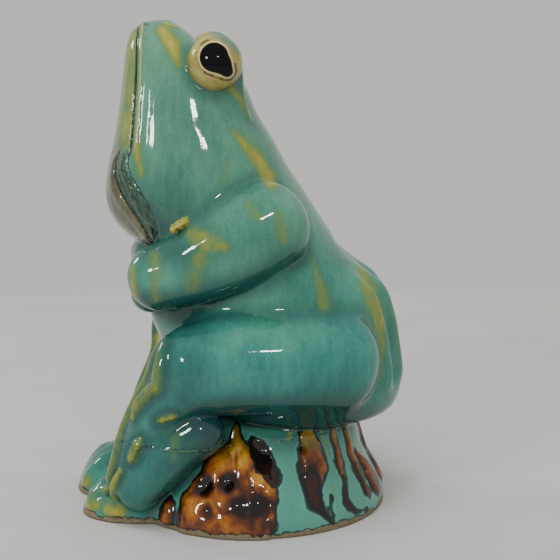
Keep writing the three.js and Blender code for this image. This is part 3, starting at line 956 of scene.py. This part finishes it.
def running_glaze(n, ragged):
    """Running teal glaze that breaks to olive and yellow where it is thin."""
    streak = n.noise(2.4, 4, 0.6, (1, 1, 5), 0.3)
    cloud = n.noise(26, 3, 0.5, (1, 1, 1.5))
    fleck = n.noise(0.7, 2, 0.6, (1, 1, 2.0))
    tone = n.total((streak, 0.26), (cloud, 0.62), (fleck, 0.22), (0.05, -1))
    high = n.step(n.total((n.height(), 1), (cloud, 0.06)), 0.09, 0.20, 0, 0.75)
    colour = n.mix(high, n.ramp(tone, TEAL), n.ramp(tone, SAGE))
    freckle = n.step(n.noise(1.3, 3, 0.7, (1, 1, 1.8)), 0.64, 0.76, 0, 0.35)
    colour = n.mix(freckle, colour, FRECKLE)
    colour = n.mix(n.step(n.value("rock"), 0.0, 1.5, 0, 0.5), colour, MINT)
    # Painted shade, laid into the glaze's colour wherever the shade mask from the skin's points
    # says.
    colour = n.mix(n.total((n.value("painted_shade"), 1), (ragged, 0.12)), colour, PAINTED_SHADE)
    thin = n.value("thin")
    edge = n.step(n.total((thin, 1), (ragged, 0.5)), 0.0, 0.85)
    tint = n.total((thin, 0.88), (ragged, 0.6), (fleck, 0.2), (0.14, -1))
    colour = n.mix(edge, colour, n.ramp(tint, BREAK))
    pool = n.step(n.total((n.value("pool"), 1), (ragged, 0.45)), 0.10, 0.95, 0, 0.93)
    return n.mix(pool, colour, POOLED)


def mouth_glaze(n, colour, ragged):
    """The olive jaw, the dark line of the mouth and the pale edge of the upper lip."""
    gap = n.total((n.value("gap"), 1), (ragged, 0.5))
    mouth = n.value("mouth")
    jaw = n.times(mouth, n.step(gap, -0.2, -0.9, 0, 0.85))
    cloud = n.total((n.noise(6, 4, 0.65, (1, 1, 3.0)), 1.2), (0.12, -1))
    jaw = n.times(jaw, n.step(n.total((gap, 1), (ragged, 9)), -11, -6, 0.25, 1))
    colour = n.mix(jaw, colour, n.ramp(cloud, BREAK))
    low = n.step(n.height(), 0.174, 0.158)
    behind = n.times(n.step(gap, 0.3, 0.9), n.step(gap, 3.6, 1.6, 0, 0.6))
    colour = n.mix(n.times(mouth, behind), colour, BREAK[1][1])
    wide = n.total((low, 1.0), (0.42, 1))
    off = n.math("ABSOLUTE", n.total((gap, 1), (1.8, -1), (low, -0.5)))
    edge = n.step(n.math("DIVIDE", off, wide), 1.25, 0.55, 0, 0.9)
    lip = n.mix(low, (0.400, 0.350, 0.140), (0.260, 0.250, 0.050))
    colour = n.mix(n.times(mouth, edge), colour, lip)
    line = n.step(n.math("ABSOLUTE", gap), 0.75, 0.25, 0, 0.95)
    return n.mix(n.times(mouth, line), colour, (0.012, 0.030, 0.018))


def throat_glaze(n, colour):
    """The pale stained throat, darker towards its top with painted shade, and the dark wrinkled
    band beside it.
    """
    stain = n.noise(7.0, 4, 0.55, (1, 1, 1.8), 0.4)
    crease = n.value("crease")
    cream = n.times(n.step(crease, 0.0, -0.12), n.value("chin"))
    # The throat's stain, with painted shade darkening its upper part.
    clay = n.mix(n.step(n.height(), 0.126, 0.146, 0, 0.45), n.ramp(stain, THROAT_CLAY),
                 (0.034, 0.032, 0.014))
    colour = n.mix(cream, colour, clay)
    vein = n.noise(1.1, 4, 0.7, (1, 1, 4.5), 0.5, 30)
    wander = n.total((n.noise(4, 3, 0.6), 0.5), (0.25, -1))
    fade = n.step(n.total((crease, 1), (wander, 1)), 1.15, 0.75, 0, 0.92)
    band = n.times(n.step(crease, -0.08, 0.08), fade, n.value("throat"))
    colour = n.mix(band, colour, n.ramp(vein, WRINKLED))
    line = n.step(n.math("ABSOLUTE", crease), 0.10, 0.02, 0, 0.5)
    return n.mix(n.times(line, n.value("throat")), colour, OUTLINE)


def tortoiseshell(n, colour):
    """Amber lobes on the rock, dark in their hollows and outlined in black."""
    shell = n.noise(8.0, 4, 0.55, (1, 1, 1.2), 0.6)
    fine = n.noise(1.2, 3, 0.65)
    depth = n.total((shell, 0.62), (fine, 0.10), (n.value("bend"), 0.16),
                    (n.value("boss"), 0.26), (n.value("hollow"), -0.50), (0.075, 1))
    wander = n.total((n.noise(5.0, 3, 0.55, (1, 1, 1.6), 0.3), 1), (0.5, -1))
    inside = n.total((n.value("amber"), 1), (wander, 4.0))
    dark = n.total((n.value("dark"), 1), (wander, 3.0))
    on_rock = n.step(n.value("rock"), 0.0, 0.5)
    amber = n.ramp(depth, AMBER)
    top = n.step(n.height(), 0.030, 0.039, 0, 0.7)
    amber = n.mix(top, amber, RIB_TOP)
    glow = n.times(n.step(inside, 0.0, 3.0, 0.6, 0), n.step(n.height(), 0.024, 0.010, 0.3, 1))
    amber = n.mix(glow, amber, MAROON)
    either = n.math("MAXIMUM", inside, dark)
    pale = n.times(n.step(either, -2.1, -1.6), n.step(either, -1.1, -1.5))
    colour = n.mix(n.times(pale, on_rock, 0.4), colour, MINT)
    colour = n.mix(n.times(n.step(inside, -0.2, 0.3), on_rock), colour, amber)
    colour = n.mix(n.times(n.step(dark, -0.3, 0.3), on_rock), colour,
                   n.mix(n.step(n.total((dark, 1), (shell, 3)), 2.6, 4.6), OUTLINE, MAROON))
    line = n.times(n.step(either, -1.3, -0.5), n.step(either, 0.9, 0.1))
    colour = n.mix(n.times(line, on_rock, 0.94), colour, OUTLINE)
    hollow = n.times(n.step(n.value("hollow"), 0.30, 0.95, 0, 0.92), on_rock)
    return n.mix(hollow, colour, HOLLOW)


def eye_glaze(n, colour, ragged):
    """Yellow eyeballs with black glossy pupils that a pale line rings, and painted shade in the
    crease round each eyeball.
    """
    stain = n.total((n.noise(7, 3, 0.55), 0.75), (n.noise(1.6, 3, 0.6), 0.25))
    on_eye = n.step(n.value("eyeball"), -0.9, 0.9)
    rim = n.step(n.total((n.value("rim"), 1), (ragged, 0.3)), 0.1, 1.0, 0, 0.9)
    ball_colour = n.mix(rim, n.ramp(stain, EYE_YELLOW), colour)
    # Painted shade in the crease where each eyeball meets the head.
    eye_crease_shade = n.step(n.math("ABSOLUTE", n.value("eyeball")), 1.1, 0.3, 0, 0.45)
    wobble = n.total((n.noise(3.2, 2, 0.5), 0.4), (0.2, -1))
    pupil = n.total((n.value("pupil"), 1), (wobble, 1))
    pale = n.times(n.step(pupil, 0.1, 0.3), n.step(pupil, 0.9, 0.6))
    ball_colour = n.mix(n.times(pale, 0.85), ball_colour, (0.66, 0.52, 0.27))
    mark = n.times(n.step(pupil, 0.8, 1.1), n.step(pupil, 2.2, 1.7))
    patchy = n.times(n.step(n.noise(6, 2, 0.5), 0.46, 0.54, 0, 0.8),
                     n.step(n.value("rim"), 0.1, 0.0))
    ball_colour = n.mix(n.times(mark, patchy), ball_colour, (0.045, 0.018, 0.006))
    black = n.step(pupil, 0.2, -0.1)
    ball_colour = n.mix(black, ball_colour, (0.001, 0.001, 0.002))
    n.feed(n.shader.inputs["Specular IOR Level"], n.total((black, -0.3), (0.5, 1)))
    colour = n.mix(on_eye, colour, ball_colour)
    return n.mix(n.times(eye_crease_shade, n.step(n.height(), 0.17, 0.18)), colour, PAINTED_SHADE)


def bare_clay(n, colour, gloss):
    """The unglazed rim and underside, with the dark edge where the glaze stops."""
    nibble = n.total((n.noise(2.6, 3, 0.6), 3.6), (1.8, -1))
    bare = n.total((n.value("bare"), 1), (nibble, 1))
    colour = n.mix(n.step(bare, -1.2, -0.5, 0, 0.9), colour, OUTLINE)
    amount = n.step(bare, -0.3, 0.0)
    colour = n.mix(amount, colour, n.ramp(n.noise(1.2, 5, 0.7), CLAY))
    return colour, n.total((amount, 0.72), (gloss, 1))


def glaze_material(name, gloss):
    n = Nodes(name)
    ragged = n.total((n.noise(2.8, 4, 0.62, (1, 1, 2.6), 0.4), 1), (0.5, -1))
    colour = running_glaze(n, ragged)
    colour = mouth_glaze(n, colour, ragged)
    colour = throat_glaze(n, colour)
    colour = tortoiseshell(n, colour)
    colour = eye_glaze(n, colour, ragged)
    colour, roughness = bare_clay(n, colour, gloss)
    return n.finish(colour, roughness, [(n.noise(13, 2, 0.3), 0.22), (n.noise(1.8, 2, 0.5), 0.008)])


# ---- build

points, normals, faces = draw_skin()
parts = parts_of(points)
values = glaze_values(points, normals, parts)

centres = points[faces].mean(1)
shares = parts_of(centres)
order = np.stack([shares[name] for name in PIECES], 1)
owner = order.argmin(1)
owner[in_the_hollow(centres)] = PIECES.index("rock_mound")

teal, amber, cream = (glaze_material(name, 0.045) for name in (
    "running_teal_glaze", "tortoiseshell_glaze", "cream_glaze"))
SPECIAL = {"rock_mound": (amber, "amber_glaze"), "right_fingertips": (cream, "cream_glaze"),
           "left_eye": (cream, "cream_glaze"), "right_eye": (cream, "cream_glaze")}
for index, name in enumerate(PIECES):
    material, slot = SPECIAL.get(name, (teal, "teal_glaze"))
    piece = make_piece(name + "_glazed", points, normals, faces[owner == index], values, material)
    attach(piece, "root")
    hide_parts(name)

# ---- floor, lights and camera

FLOOR_SIZE = 3.0
FLOOR_BEHIND = 0.47  # the far edge of the floor, seen past the frog's right side
mesh = bpy.data.meshes.new("floor")
near, half = FLOOR_SIZE - FLOOR_BEHIND, FLOOR_SIZE / 2
mesh.from_pydata([(-FLOOR_BEHIND, -half, 0), (near, -half, 0), (near, half, 0),
                  (-FLOOR_BEHIND, half, 0)], [], [(0, 1, 2, 3)])
floor = bpy.data.objects.new("floor", mesh)
bpy.context.scene.collection.objects.link(floor)
paper = Nodes("pale_floor")
paper_colour = paper.ramp(paper.noise(40, 3, 0.5), [(0.3, (0.50, 0.495, 0.48)),
                                                    (0.7, (0.54, 0.535, 0.52))])
floor.data.materials.append(paper.finish(paper_colour, 0.6, [(paper.noise(1.5, 3, 0.5), 0.03)]))

world = bpy.data.worlds.new("studio")
world.use_nodes = True
sky = world.node_tree.nodes["Background"].inputs
sky["Color"].default_value = (0.83, 0.82, 0.79, 1)
sky["Strength"].default_value = 0.78
bpy.context.scene.world = world

TARGET = Vector((0, 0.01, 0.11))


def placed(data, target, azimuth, elevation, distance):
    """A light or camera that looks at a target from that side, in degrees, and distance."""
    thing = bpy.data.objects.new(data.name, data)
    a, e = math.radians(azimuth), math.radians(elevation)
    back = Vector((math.sin(a) * math.cos(e), -math.cos(a) * math.cos(e), math.sin(e)))
    thing.location = target + distance * back
    thing.rotation_mode = "QUATERNION"
    thing.rotation_quaternion = (-back).to_track_quat("-Z", "Y")
    bpy.context.scene.collection.objects.link(thing)
    return thing


def panel_light(name, azimuth, elevation, distance, width, height, power, colour=(1, 1, 1)):
    data = bpy.data.lights.new(name, "AREA")
    data.shape = "RECTANGLE"
    data.size, data.size_y = width, height
    data.energy = power
    data.color = colour
    return placed(data, TARGET, azimuth, elevation, distance)


panel_light("overhead_softbox", 60, 72, 1.3, 0.8, 0.8, 10).visible_glossy = False
panel_light("window_left", 49, 26, 1.5, 0.20, 0.16, 6, (0.96, 0.98, 1))
panel_light("window_right", 99, 29, 1.6, 0.17, 0.08, 3.5, (1, 0.98, 0.95))
panel_light("window_front", -32, 24, 1.5, 0.20, 0.30, 5)
panel_light("fill_back", 225, 35, 1.6, 0.8, 0.8, 5).visible_glossy = False

CAMERA_AZIMUTH = 86
CAMERA_ELEVATION = 11
CAMERA_DISTANCE = 0.68
AIM = Vector((0, 0.01965, 0.1015))
camera_data = bpy.data.cameras.new("camera")
camera_data.sensor_width = 36
camera_data.lens = 95.8
camera_data.clip_start = 0.05
bpy.context.scene.camera = placed(
    camera_data, AIM, CAMERA_AZIMUTH, CAMERA_ELEVATION, CAMERA_DISTANCE)
